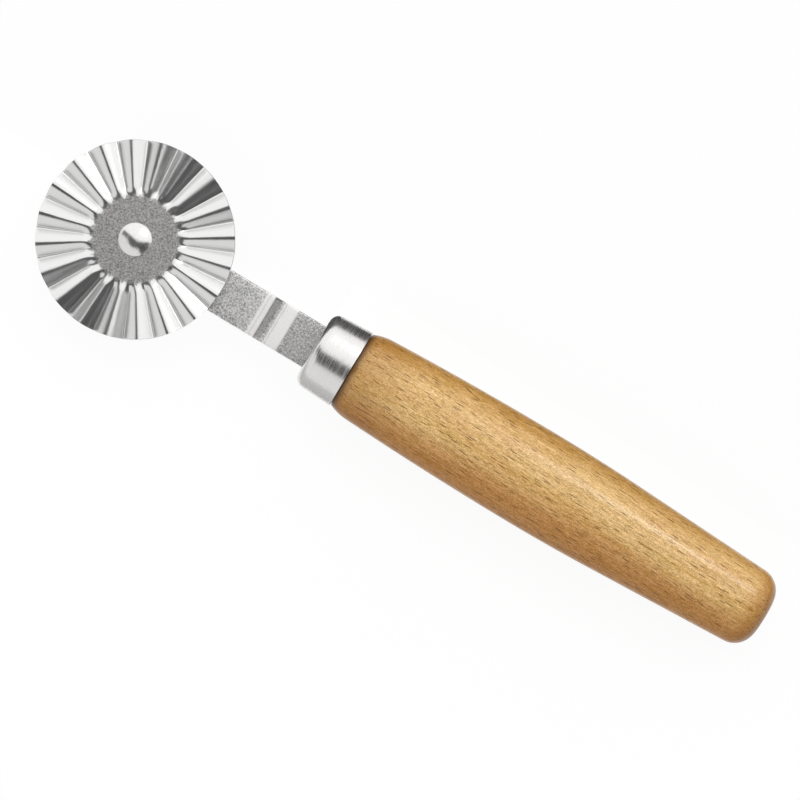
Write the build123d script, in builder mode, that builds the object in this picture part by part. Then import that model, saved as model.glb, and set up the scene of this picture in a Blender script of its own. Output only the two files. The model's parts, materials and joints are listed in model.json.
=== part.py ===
from build123d import *
from math import asin, cos, degrees, radians, tan
import os

# A fluted pastry wheel: a corrugated steel disc that spins on a rivet at the end of a joggled flat shank,
# whose tang is set through a drawn ferrule into a turned wooden handle.
# It lies on its side: X runs from the wheel to the butt of the handle, Z points up along the axle, and the
# origin is on the surface that it lies on, under the middle of its length.

# Wheel
WHEEL_DIAMETER = 40.0
WHEEL_SHEET = 0.9  # thickness along the axle
HUB_ACROSS_FLATS = 17.0  # flat middle, with one side for each flute
FLUTE_COUNT = 20
FLUTE_DEPTH = 2.3  # from ridge to valley at the rim, before the bends are rounded
FLUTE_RUN_IN = 2.1  # radial length in which the flutes rise out of the hub
OUTER_BEND = 0.88  # half the width of a bend at the rim, on the outside of the bent sheet
INNER_BEND = 0.3  # the same on the inside
RIDGE_ANGLE = -3.4  # where one ridge stands at rest, in degrees from X

# Axle
AXLE_DIAMETER = 4.5  # shoulder that the wheel turns on
AXLE_CLEARANCE = 0.06  # all round the shoulder
END_PLAY = 0.08  # above and below the hub
RIVET_HEAD_DIAMETER = 6.7
RIVET_HEAD_EDGE = 0.25
RIVET_HEAD_CROWN = 1.25
RIVET_NECK_DIAMETER = 3.4
RIVET_TAIL_DIAMETER = 5.8
RIVET_TAIL_EDGE = 0.35
RIVET_TAIL_CROWN = 0.6
RIVET_FIT = 0.03  # around the neck, in the washer and the shank
SPACER_DIAMETER = 8.0
FLUTE_CLEARANCE = 0.23  # between the flutes and the shank, before the bends are rounded

# Shank
SHANK_WIDTH = 9.4
SHANK_THICKNESS = 1.5
SHANK_END_ROUNDING = 4.5  # corners of the end behind the wheel
SHANK_EDGE_ROUNDING = 0.3
RIM_TO_JOGGLE = 9.8  # from the rim to where the first bend starts
JOGGLE_ANGLE = 52.0
JOGGLE_BEND_RADIUS = 1.2  # to the middle of the strip
JOGGLE_TO_FERRULE = 8.8  # straight run behind the second bend
TANG_ROOT_WIDTH = 6.4
TANG_TIP_WIDTH = 3.6
TANG_LENGTH = 42.0

# Ferrule
FERRULE_LENGTH = 8.6
FERRULE_FRONT_DIAMETER = 16.1
FERRULE_MOUTH_DIAMETER = 16.9
FERRULE_WALL = 0.6
FERRULE_ROUNDING = 2.0
SLOT_CLEARANCE = 0.1  # around the strip in the ferrule, and around the tang in the wood

# Handle
HANDLE_LENGTH = 96.0  # from the ferrule to the butt
HANDLE_DIAMETER = 20.1  # at the belly
BELLY_FROM_FERRULE = 42.0
FRONT_SWEEP_RADIUS = 800.0
REAR_SWEEP_RADIUS = 400.0
REAR_TAPER = 2.7  # slope of the straight run to the butt, in degrees
NECK_LENGTH = 4.0  # rounded stretch behind the ferrule
NECK_STEP = 0.3  # height of the ferrule's mouth above the wood
BUTT_ROUNDING = 4.7
TENON_CLEARANCE = 0.05  # inside the ferrule
SHOULDER_GAP = 0.15  # between the mouth of the ferrule and the wood

# Heights above and below the axis of the handle, which runs through the middle of the wheel
hub_half = WHEEL_SHEET / 2
head_seat = hub_half + END_PLAY
spacer_top = -head_seat
shank_top = -hub_half - FLUTE_DEPTH / 2 - FLUTE_CLEARANCE
shank_back = shank_top - SHANK_THICKNESS
joggle_rise = SHANK_THICKNESS / 2 - shank_top

# Distances behind the axle
wheel_radius = WHEEL_DIAMETER / 2
bend_reach = JOGGLE_BEND_RADIUS * tan(radians(JOGGLE_ANGLE / 2))
joggle_foot = wheel_radius + RIM_TO_JOGGLE + bend_reach
joggle_head = joggle_foot + joggle_rise / tan(radians(JOGGLE_ANGLE))
ferrule_front = joggle_head + bend_reach + JOGGLE_TO_FERRULE
tenon_front = ferrule_front + FERRULE_WALL + SHOULDER_GAP
shoulder = ferrule_front + FERRULE_LENGTH + SHOULDER_GAP
tang_tip = tenon_front + TANG_LENGTH
overall_length = wheel_radius + shoulder + HANDLE_LENGTH

# Reference point and planes
axle_x = wheel_radius - overall_length / 2
axis_height = HANDLE_DIAMETER / 2
axle_point = Vector(axle_x, 0, axis_height)
level = Plane(axle_point)
upright = Plane(axle_point, x_dir=(1, 0, 0), z_dir=(0, -1, 0))
axle_axis = Axis(axle_point, (0, 0, 1))
handle_axis = Axis(axle_point, (1, 0, 0))

os.makedirs("parts", exist_ok=True)


def bend_ends(before, corner, after, half_width):
    """The two points where a rounded corner leaves the straight lines to its neighbours."""
    start = corner + (before - corner) * (half_width / abs(before.X - corner.X))
    end = corner + (after - corner) * (half_width / abs(after.X - corner.X))
    return start, end


def flute_line(radius, depth, height, ridge_bend, valley_bend):
    """One face of the sheet across one flute: up to the ridge, down to the valley and half-way back."""
    sector_half = radius * tan(radians(180 / FLUTE_COUNT))
    bend_place = radius * tan(radians(90 / FLUTE_COUNT))
    left = Vector(-sector_half, height)
    ridge = Vector(-bend_place, height + depth / 2)
    valley = Vector(bend_place, height - depth / 2)
    right = Vector(sector_half, height)
    scale = radius / wheel_radius
    ridge_start, ridge_end = bend_ends(left, ridge, valley, ridge_bend * scale)
    valley_start, valley_end = bend_ends(ridge, valley, right, valley_bend * scale)
    Line(left, ridge_start)
    Bezier(ridge_start, ridge, ridge_end)
    Line(ridge_end, valley_start)
    Bezier(valley_start, valley, valley_end)
    Line(valley_end, right)
    return left, right


def flute_section(radius, depth):
    """Cross-section of one flute on a plane square to its middle line, at this radius."""
    with BuildSketch(Plane((radius, 0, 0), x_dir=(0, 1, 0), z_dir=(1, 0, 0))) as section:
        with BuildLine():
            front_left, front_right = flute_line(radius, depth, hub_half, OUTER_BEND, INNER_BEND)
            back_left, back_right = flute_line(radius, depth, -hub_half, INNER_BEND, OUTER_BEND)
            Line(front_left, back_left)
            Line(front_right, back_right)
        make_face()
    return section.sketch


# Fluted wheel: one flute is lofted from the flat hub outwards, repeated round the hub and trimmed to a circle
hub_radius = HUB_ACROSS_FLATS / 2
full_flute_radius = hub_radius + FLUTE_RUN_IN
trim_radius = wheel_radius / cos(radians(180 / FLUTE_COUNT)) + WHEEL_SHEET
flute_slope = FLUTE_DEPTH / wheel_radius

with BuildPart() as flute:
    loft(
        [
            flute_section(hub_radius, 0),
            flute_section(full_flute_radius, flute_slope * full_flute_radius),
            flute_section(trim_radius, flute_slope * trim_radius),
        ],
        ruled=True,
    )

first_flute = RIDGE_ANGLE + 90 / FLUTE_COUNT

with BuildPart(level) as fluted_wheel:
    with BuildSketch(level.offset(-hub_half)):
        RegularPolygon(hub_radius, FLUTE_COUNT, major_radius=False, rotation=first_flute + 180 / FLUTE_COUNT)
    extrude(amount=WHEEL_SHEET)
    with PolarLocations(0, FLUTE_COUNT, start_angle=first_flute):
        add(flute.part)
    with BuildSketch(level.offset(-FLUTE_DEPTH)):
        Circle(wheel_radius)
    extrude(amount=2 * FLUTE_DEPTH, mode=Mode.INTERSECT)
    Hole(AXLE_DIAMETER / 2 + AXLE_CLEARANCE)
fluted_wheel.part.label = "fluted_wheel"
export_step(fluted_wheel.part, "parts/fluted_wheel.step")

# Axle rivet: domed head, shoulder for the wheel, neck through the washer and the shank, and a peened tail
crown_foot = head_seat + RIVET_HEAD_EDGE
tail_foot = shank_back - RIVET_TAIL_EDGE

with BuildPart() as axle_rivet:
    with BuildSketch(upright):
        with BuildLine():
            TangentArc(
                (0, crown_foot + RIVET_HEAD_CROWN), (RIVET_HEAD_DIAMETER / 2, crown_foot), tangent=(1, 0)
            )
            Polyline(
                (RIVET_HEAD_DIAMETER / 2, crown_foot),
                (RIVET_HEAD_DIAMETER / 2, head_seat),
                (AXLE_DIAMETER / 2, head_seat),
                (AXLE_DIAMETER / 2, spacer_top),
                (RIVET_NECK_DIAMETER / 2, spacer_top),
                (RIVET_NECK_DIAMETER / 2, shank_back),
                (RIVET_TAIL_DIAMETER / 2, shank_back),
                (RIVET_TAIL_DIAMETER / 2, tail_foot),
            )
            TangentArc(
                (0, tail_foot - RIVET_TAIL_CROWN), (RIVET_TAIL_DIAMETER / 2, tail_foot), tangent=(1, 0)
            )
            Line((0, tail_foot - RIVET_TAIL_CROWN), (0, crown_foot + RIVET_HEAD_CROWN))
        make_face()
    revolve(axis=axle_axis)
axle_rivet.part.label = "axle_rivet"
export_step(axle_rivet.part, "parts/axle_rivet.step")

# Spacer washer: keeps the flutes clear of the shank
with BuildPart() as spacer_washer:
    with BuildSketch(level.offset(shank_top)):
        Circle(SPACER_DIAMETER / 2)
        Circle(RIVET_NECK_DIAMETER / 2 + RIVET_FIT, mode=Mode.SUBTRACT)
    extrude(amount=spacer_top - shank_top)
spacer_washer.part.label = "spacer_washer"
export_step(spacer_washer.part, "parts/spacer_washer.step")

# Shank: a strip bent through the joggle, rounded along its edges, with a narrow tang behind
strip_low = shank_top - SHANK_THICKNESS / 2
strip_end = -SHANK_WIDTH / 2


def tang_outline(margin):
    """Corners of the tang from above, grown by a margin for the pocket that holds it."""
    root = TANG_ROOT_WIDTH / 2 + margin
    tip = TANG_TIP_WIDTH / 2 + margin
    end = tang_tip + margin
    return [(tenon_front, root), (tenon_front, -root), (end, -tip), (end, tip)]


with BuildPart() as shank:
    with BuildSketch(upright):
        with BuildLine():
            FilletPolyline(
                (strip_end, strip_low), (joggle_foot, strip_low), (joggle_head, 0), (tang_tip, 0),
                radius=JOGGLE_BEND_RADIUS,
            )
        trace(line_width=SHANK_THICKNESS)
    extrude(amount=SHANK_WIDTH / 2, both=True)
    fillet(shank.edges().filter_by(Axis.Z).group_by(Axis.X)[0], SHANK_END_ROUNDING)
    long_edges = shank.edges() - shank.faces().sort_by(Axis.X)[-1].edges()
    long_edges = long_edges.filter_by(Axis.Y, reverse=True).filter_by(Axis.Z, reverse=True)
    fillet(long_edges, SHANK_EDGE_ROUNDING)
    with BuildSketch(level.offset(shank_back)):
        with Locations((tenon_front, 0)):
            Rectangle(2 * TANG_LENGTH, 2 * SHANK_WIDTH, align=(Align.MIN, Align.CENTER))
        Polygon(*tang_outline(0), align=None, mode=Mode.SUBTRACT)
    extrude(amount=SHANK_THICKNESS - shank_back, mode=Mode.SUBTRACT)
    with BuildSketch(level.offset(shank_back)):
        Circle(RIVET_NECK_DIAMETER / 2 + RIVET_FIT)
    extrude(amount=SHANK_THICKNESS, mode=Mode.SUBTRACT)
shank.part.label = "shank"
export_step(shank.part, "parts/shank.step")

# Ferrule: a tapered cap, closed in front and open behind, with a slot for the strip
ferrule_mouth = ferrule_front + FERRULE_LENGTH

with BuildPart() as ferrule:
    with BuildSketch(upright):
        with BuildLine():
            Polyline(
                (ferrule_front, 0),
                (ferrule_front, FERRULE_FRONT_DIAMETER / 2),
                (ferrule_mouth, FERRULE_MOUTH_DIAMETER / 2),
                (ferrule_mouth, 0),
                close=True,
            )
        make_face()
    revolve(axis=handle_axis)
    fillet(ferrule.edges().sort_by(Axis.X)[0], FERRULE_ROUNDING)
    offset(amount=-FERRULE_WALL, openings=ferrule.faces().sort_by(Axis.X)[-1])
    with BuildSketch(Plane((axle_x + ferrule_front, 0, axis_height), x_dir=(0, 1, 0), z_dir=(1, 0, 0))):
        Rectangle(SHANK_WIDTH + 2 * SLOT_CLEARANCE, SHANK_THICKNESS + 2 * SLOT_CLEARANCE)
    extrude(amount=FERRULE_LENGTH, mode=Mode.SUBTRACT)
ferrule.part.label = "ferrule"
export_step(ferrule.part, "parts/ferrule.step")

# Handle: turned grip with a tenon for the ferrule and a pocket for the tang
belly = shoulder + BELLY_FROM_FERRULE
butt = shoulder + HANDLE_LENGTH
front_turn = degrees(asin((BELLY_FROM_FERRULE - NECK_LENGTH) / FRONT_SWEEP_RADIUS))
ferrule_inside = FERRULE_WALL + TENON_CLEARANCE
tenon_corner = (tenon_front, FERRULE_FRONT_DIAMETER / 2 - ferrule_inside)
tenon_rounding = FERRULE_ROUNDING - FERRULE_WALL + TENON_CLEARANCE

with BuildPart() as handle:
    with BuildSketch(upright) as handle_outline:
        with BuildLine():
            front_sweep = JernArc((belly, HANDLE_DIAMETER / 2), (-1, 0), FRONT_SWEEP_RADIUS, front_turn)
            neck = TangentArc(
                front_sweep @ 1, (shoulder, FERRULE_MOUTH_DIAMETER / 2 - NECK_STEP), tangent=front_sweep % 1
            )
            rear_sweep = JernArc((belly, HANDLE_DIAMETER / 2), (1, 0), REAR_SWEEP_RADIUS, -REAR_TAPER)
            taper_length = (butt - (rear_sweep @ 1).X) / cos(radians(REAR_TAPER))
            taper = Line(rear_sweep @ 1, rear_sweep @ 1 + rear_sweep % 1 * taper_length)
            Polyline(
                neck @ 1,
                (shoulder, FERRULE_MOUTH_DIAMETER / 2 - ferrule_inside),
                tenon_corner,
                (tenon_front, 0),
                (butt, 0),
                taper @ 1,
            )
        make_face()
        fillet(handle_outline.vertices().sort_by_distance(taper @ 1)[0], BUTT_ROUNDING)
        fillet(handle_outline.vertices().sort_by_distance(tenon_corner)[0], tenon_rounding)
    revolve(axis=handle_axis)
    with BuildSketch(level.offset(-SHANK_THICKNESS / 2 - SLOT_CLEARANCE)):
        Polygon(*tang_outline(SLOT_CLEARANCE), align=None)
    extrude(amount=SHANK_THICKNESS + 2 * SLOT_CLEARANCE, mode=Mode.SUBTRACT)
handle.part.label = "handle"
export_step(handle.part, "parts/handle.step")
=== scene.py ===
"""Looks of a fluted pastry wheel.

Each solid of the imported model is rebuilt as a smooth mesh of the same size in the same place, and gets the
finish that the real piece shows. Lengths are in metres, written in millimetres through MM.
"""

import json
import logging
import math
from dataclasses import dataclass
from enum import Enum
from functools import partial
from typing import Any, Callable, Sequence

import bmesh
import bpy
from mathutils import Matrix, Vector


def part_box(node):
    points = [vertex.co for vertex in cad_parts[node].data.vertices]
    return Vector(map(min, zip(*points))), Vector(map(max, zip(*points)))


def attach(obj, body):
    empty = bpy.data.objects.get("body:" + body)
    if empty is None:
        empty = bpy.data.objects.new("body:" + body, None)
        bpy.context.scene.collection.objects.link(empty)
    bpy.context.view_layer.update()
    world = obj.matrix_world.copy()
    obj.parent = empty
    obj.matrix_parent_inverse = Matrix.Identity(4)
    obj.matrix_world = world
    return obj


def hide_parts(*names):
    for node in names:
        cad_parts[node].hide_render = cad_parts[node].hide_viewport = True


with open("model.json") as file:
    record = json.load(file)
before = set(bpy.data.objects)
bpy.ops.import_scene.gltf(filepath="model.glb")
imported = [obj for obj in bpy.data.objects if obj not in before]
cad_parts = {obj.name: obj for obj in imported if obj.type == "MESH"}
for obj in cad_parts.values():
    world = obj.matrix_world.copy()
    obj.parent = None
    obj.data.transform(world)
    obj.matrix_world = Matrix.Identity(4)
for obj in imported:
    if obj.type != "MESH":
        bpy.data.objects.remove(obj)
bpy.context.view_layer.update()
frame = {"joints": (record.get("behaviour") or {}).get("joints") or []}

MM = 0.001
LOG = logging.getLogger("pastry_wheel")
WHITE = (1, 1, 1, 1)

# Kinds of node that come up often, and settings: a range with soft ends, and a mix of colours.
# That mix takes its share at place 0 and the two colours at places 6 and 7.
MATH, VECTOR_MATH = "ShaderNodeMath", "ShaderNodeVectorMath"
RANGE, MIX = "ShaderNodeMapRange", "ShaderNodeMix"
MAPPING, NOISE, BUMP = "ShaderNodeMapping", "ShaderNodeTexNoise", "ShaderNodeBump"
SMOOTH = {"interpolation_type": "SMOOTHSTEP"}
COLOURS = {"data_type": "RGBA", "out": 2}

# The middle of the wheel lies on the axis of the handle, and every piece is measured from it.
AXLE = Vector(frame["joints"][0]["pos_m"])

# Points nearer to each other than this become one.
MERGE = 0.0005 * MM

# Rounded corners turn by this much from point to point, in no fewer steps than this.
ARC_STEP = math.radians(9)
LEAST_ARC_STEPS = 3

# Edges that bend by more degrees than this stay sharp.
CREASE = 32.0

# Folds of the wheel, which its sheet and its finish share: how many, and the first ridge's angle in degrees
FLUTES = 20
RIDGE_ANGLE = -3.4

Point = tuple[float, float]
Triple = tuple[float, float, float]
Mesh = bpy.types.Mesh
Thing = bpy.types.Object
Material = bpy.types.Material
Socket = bpy.types.NodeSocket
Tree = bpy.types.NodeTree
Inputs = dict[str | int, Any]
Add = Callable[..., Socket]


class Body(Enum):
    """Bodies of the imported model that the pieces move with."""

    HANDLE_SET = "handle_set"
    WHEEL = "wheel"


class Slot(Enum):
    """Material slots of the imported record."""

    BEECH = "lacquered_beech"
    NICKEL = "nickel_plate"
    STRIP = "blasted_steel"
    BRIGHT = "polished_steel"


class TurnAxis(Enum):
    """Line that a turned piece is round about: its own direction, then the two directions across it."""

    HANDLE = (Vector((1, 0, 0)), Vector((0, 1, 0)), Vector((0, 0, 1)))
    AXLE = (Vector((0, 0, 1)), Vector((1, 0, 0)), Vector((0, 1, 0)))


def reach(node: str) -> tuple[Vector, Vector]:
    """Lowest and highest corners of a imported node, measured from the middle of the wheel."""
    low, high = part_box(node)
    return low - AXLE, high - AXLE


def linear(hex_code: str) -> tuple[float, float, float, float]:
    """Turns an sRGB colour into linear light, by the curve of the sRGB standard.

    Args:
        hex_code: a hash sign and six hex digits.

    Returns:
        Red, green, blue and a full alpha.
    """
    shares = [int(hex_code[place : place + 2], 16) / 255 for place in (1, 3, 5)]
    red, green, blue = (s / 12.92 if s <= 0.04045 else ((s + 0.055) / 1.055) ** 2.4 for s in shares)
    return red, green, blue, 1.0


def add_node(
    tree: Tree,
    kind: str,
    inputs: Inputs | Sequence[Any] = (),
    operation: str | None = None,
    out: str | int = 0,
    **settings: Any,
) -> Socket | None:
    """Adds a node with its settings and links.

    Args:
        tree: the tree that the node goes into.
        kind: the node's type name.
        inputs: a socket to link from or a value to set for each input, by name or place, or all in order.
        operation: what a node that calculates does.
        out: name or place of the output to go on with.
        settings: other properties of the node itself.

    Returns:
        That output, or None where the node ends the tree.
    """
    node = tree.nodes.new(kind)
    if operation:
        node.operation = operation
    for name, value in settings.items():
        setattr(node, name, value)
    for place, value in inputs.items() if isinstance(inputs, dict) else enumerate(inputs):
        if isinstance(value, Socket):
            tree.links.new(value, node.inputs[place])
        else:
            node.inputs[place].default_value = value
    return node.outputs[out] if node.outputs else None


def emptied(owner: Material | bpy.types.World) -> Add:
    """Turns the nodes of a material or a world on and clears them away.

    Args:
        owner: the material or the world.

    Returns:
        The function that adds nodes to its tree.
    """
    owner.use_nodes = True
    owner.node_tree.nodes.clear()
    return partial(add_node, owner.node_tree)


def rounded(corners: Sequence[Triple], step: float) -> list[Point]:
    """Rounds the corners of an open outline and spaces points along it.

    Args:
        corners: two coordinates and a rounding radius for each corner.
        step: longest run between two points.

    Returns:
        The points of the outline, in order.
    """
    path = [Vector(corners[0][:2])]
    for before, (x, y, radius), after in zip(corners, corners[1:], corners[2:]):
        corner = Vector((x, y))
        if radius == 0:
            path.append(corner)
            continue
        inward = (corner - Vector(before[:2])).normalized()
        outward = (Vector(after[:2]) - corner).normalized()
        turn = math.atan2(inward.cross(outward), inward.dot(outward))
        start = corner - inward * radius * math.tan(abs(turn) / 2)
        spoke = Vector((inward.y, -inward.x)) * math.copysign(radius, turn)
        count = max(LEAST_ARC_STEPS, math.ceil(abs(turn) / ARC_STEP))
        path += [start - spoke + Matrix.Rotation(turn * k / count, 2) @ spoke for k in range(count + 1)]
    path.append(Vector(corners[-1][:2]))
    points = [path[0]]
    for begin, end in zip(path, path[1:]):
        count = max(1, math.ceil((end - begin).length / step))
        points += [begin.lerp(end, (k + 1) / count) for k in range(count)]
    return [(p.x, p.y) for p in points]


def as_mesh(shape: bmesh.types.BMesh, crease: float = CREASE) -> Mesh:
    """Closes a shape's seams and turns it into a smooth mesh.

    Args:
        shape: the shape, which is freed.
        crease: angle in degrees past which an edge stays sharp.

    Returns:
        The mesh, with its faces pointing outwards.
    """
    bmesh.ops.remove_doubles(shape, verts=shape.verts, dist=MERGE)
    bmesh.ops.recalc_face_normals(shape, faces=shape.faces)
    mesh = bpy.data.meshes.new("shape")
    shape.to_mesh(mesh)
    shape.free()
    mesh.shade_smooth()
    mesh.set_sharp_from_angle(angle=math.radians(crease))
    return mesh


def loft(rings: Sequence[Sequence[Vector]], ends: bool) -> Mesh:
    """Skins rings of points that all have as many points.

    Args:
        rings: the rings in order, each a closed loop of points.
        ends: whether to close the first and last ring with a face, or to join them to each other.

    Returns:
        A closed mesh.
    """
    shape = bmesh.new()
    loops = [[shape.verts.new(point) for point in ring] for ring in rings]
    following = loops[1:] if ends else loops[1:] + loops[:1]
    for one, two in zip(loops, following):
        for k in range(len(one)):
            shape.faces.new((one[k - 1], one[k], two[k], two[k - 1]))
    if ends:
        shape.faces.new(loops[0])
        shape.faces.new(loops[-1])
    return as_mesh(shape)


def turned(outline: Sequence[Point], axis: TurnAxis, sides: int, ends: bool = True) -> Mesh:
    """Turns an outline about the handle's or the axle's line.

    Args:
        outline: places along the axis, from the middle of the wheel, and radii.
        axis: the line to turn about.
        sides: number of points round the piece.
        ends: whether the outline starts and ends at the axis, or runs on into its own start.

    Returns:
        A closed mesh.
    """
    along, across, over = axis.value
    angles = [math.tau * k / sides for k in range(sides)]
    rings = [
        [AXLE + along * place + (across * math.cos(a) + over * math.sin(a)) * radius for a in angles]
        for place, radius in outline
    ]
    return loft(rings, ends)


def prism(outline: Sequence[Point], low: float, high: float) -> Mesh:
    """Raises a plan, behind the axle and across it, into an upright block between two heights."""
    return loft([[AXLE + Vector((x, y, z)) for x, y in outline] for z in (low, high)], True)


def linked(name: str, data: bpy.types.ID) -> Thing:
    """Makes an object and links it to the scene.

    Args:
        name: name of the object.
        data: its mesh, light or camera.

    Returns:
        The object.
    """
    thing = bpy.data.objects.new(name, data)
    bpy.context.scene.collection.objects.link(thing)
    return thing


def plain_copy(holder: Thing) -> Mesh:
    """Takes what an object's modifiers make as a plain mesh, and removes the object.

    Args:
        holder: an object with modifiers.

    Returns:
        The finished mesh.
    """
    done = holder.evaluated_get(bpy.context.evaluated_depsgraph_get())
    mesh = bpy.data.meshes.new_from_object(done)
    bpy.data.objects.remove(holder)
    return mesh


def carved(mesh: Mesh, cutter: Mesh) -> Mesh:
    """Cuts one closed mesh out of another.

    Args:
        mesh: what is cut.
        cutter: what is taken away.

    Returns:
        A new mesh.
    """
    body = linked("body", mesh)
    tool = linked("tool", cutter)
    cut = body.modifiers.new("cut", "BOOLEAN")
    cut.operation = "DIFFERENCE"
    cut.solver = "EXACT"
    cut.object = tool
    result = plain_copy(body)
    bpy.data.objects.remove(tool)
    shape = bmesh.new()
    shape.from_mesh(result)
    return as_mesh(shape)


def set_up(name: str, mesh: Mesh, material: Material, node: str, body: Body) -> Thing:
    """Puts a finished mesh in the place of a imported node.

    Args:
        name: name of the piece.
        mesh: its mesh, with its place in it.
        material: its finish.
        node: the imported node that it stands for.
        body: the body that it moves with.

    Returns:
        The piece.
    """
    piece = linked(name, mesh)
    mesh.name = name
    mesh.materials.clear()
    mesh.materials.append(material)
    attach(piece, body.value)
    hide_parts(node)
    return piece


@dataclass(frozen=True)
class Finish:
    """A surface as it was made, drawn on the piece's own Object coordinates."""

    name: str

    def material(self) -> Material:
        """Makes the material.

        Returns:
            A new material with the finish's nodes.
        """
        material = bpy.data.materials.new(self.name)
        add = emptied(material)
        place = add("ShaderNodeTexCoord", out="Object")
        centred = add(MAPPING, {"Vector": place, "Location": -AXLE})
        shader = add("ShaderNodeBsdfPrincipled", self.dress(add, centred))
        add("ShaderNodeOutputMaterial", {"Surface": shader})
        return material

    def dress(self, add: Add, place: Socket) -> Inputs:
        """Draws the finish, and gives what the inputs of the shader are linked from or set to."""
        raise NotImplementedError


@dataclass(frozen=True)
class GrittySteel(Finish):
    """Steel with a dull grain: dark and light specks that run no particular way."""

    dark: str
    light: str
    speck: float
    speck_relief: float
    dullness: Point
    speck_levels: Point = (0.31, 0.62)
    speck_strength: float = 0.6
    octaves: float = 3
    octave_share: float = 0.65

    def grit(self, add: Add, place: Socket) -> tuple[Socket, Socket, Socket]:
        """Draws the specks.

        Args:
            add: adds nodes to the tree.
            place: coordinates from the middle of the wheel.

        Returns:
            The specks' height, from 0 to 1, their colour and their roughness.
        """
        noise = {"Vector": place, "Scale": 1 / self.speck}
        specks = add(NOISE, {**noise, "Detail": self.octaves, "Roughness": self.octave_share})
        share = add(RANGE, (specks, *self.speck_levels))
        colour = add(MIX, {0: share, 6: linear(self.dark), 7: linear(self.light)}, **COLOURS)
        return specks, colour, add(RANGE, (specks, 0, 1, *self.dullness))


@dataclass(frozen=True)
class Band:
    """Strip of a surface that differs from the rest, across the tool: scuff, painted highlight or shade."""

    begin: float
    end: float
    edge: float
    colour: str
    roughness: float
    share: float


@dataclass(frozen=True)
class BlastedSteel(GrittySteel):
    """Mild steel strip, cold rolled, blasted matt and then bent.

    The grit leaves dull specks. The jaws of the bending tool leave a pale scuffed stripe on both sides of the
    joggle, brightened further as painted highlight. Painted shade darkens the joggle's slope, the line along
    its edge, its creases and the stretch next to the ferrule, and painted light brightens the stretch before
    it.
    """

    name: str = "mild_steel_blasted_and_bent"
    dark: str = "#787776"
    light: str = "#FCFBFA"
    speck: float = 0.28 * MM
    speck_relief: float = 0.012 * MM
    dullness: Point = (0.52, 0.36)
    # Bands: painted light before the joggle; painted shade next to the ferrule; pale scuffs over both bends,
    # brightened as painted highlight; painted shade in the creases, on the joggle's slope and along its edge
    scuffs_and_painted_light: tuple[Band, ...] = (
        Band(26.5 * MM, 30.0 * MM, 4.0 * MM, "#F4F3F1", 0.4, 0.3),
        Band(35.4 * MM, 45.0 * MM, 1.0 * MM, "#6E6D6C", 0.5, 0.2),
        Band(28.2 * MM, 29.95 * MM, 0.4 * MM, "#FCFBFA", 0.7, 0.92),
        Band(32.3 * MM, 35.45 * MM, 0.4 * MM, "#FCFBFA", 0.7, 0.92),
        Band(28.95 * MM, 29.05 * MM, 0.3 * MM, "#8A8988", 0.5, 0.4),
        Band(30.2 * MM, 31.7 * MM, 0.3 * MM, "#5A5958", 0.5, 0.2),
        Band(30.15 * MM, 30.4 * MM, 0.25 * MM, "#5A5958", 0.5, 0.6),
        Band(32.7 * MM, 32.85 * MM, 0.35 * MM, "#8A8988", 0.5, 0.4),
    )
    raggedness: float = 0.9 * MM

    def dress(self, add: Add, place: Socket) -> Inputs:
        """Draws specks all over, and bands at the bends: scuffs, painted highlights and painted shade.

        Args:
            add: adds nodes to the tree.
            place: coordinates from the middle of the wheel.

        Returns:
            The inputs of the shader.
        """
        specks, colour, roughness = self.grit(add, place)
        along = add("ShaderNodeSeparateXYZ", (place,))
        ragged = add(MATH, (specks, self.raggedness, along), "MULTIPLY_ADD")
        # Each band lays a scuff, a painted highlight or painted shade across the strip
        for band in self.scuffs_and_painted_light:
            middle = (band.begin + band.end + self.raggedness) / 2
            half = (band.end - band.begin) / 2
            offset = add(MATH, (ragged, middle), "SUBTRACT")
            distance = add(MATH, (offset,), "ABSOLUTE")
            levels = (distance, half + band.edge / 2, half - band.edge / 2, 0, band.share)
            share = add(RANGE, levels, **SMOOTH)
            colour = add(MIX, {0: share, 6: colour, 7: linear(band.colour)}, **COLOURS)
            roughness = add(RANGE, (share, 0, 1, roughness, band.roughness))
        pits = add(BUMP, {"Height": specks, "Distance": self.speck_relief, "Strength": self.speck_strength})
        return {"Metallic": 1, "Base Color": colour, "Roughness": roughness, "Normal": pits}


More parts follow.
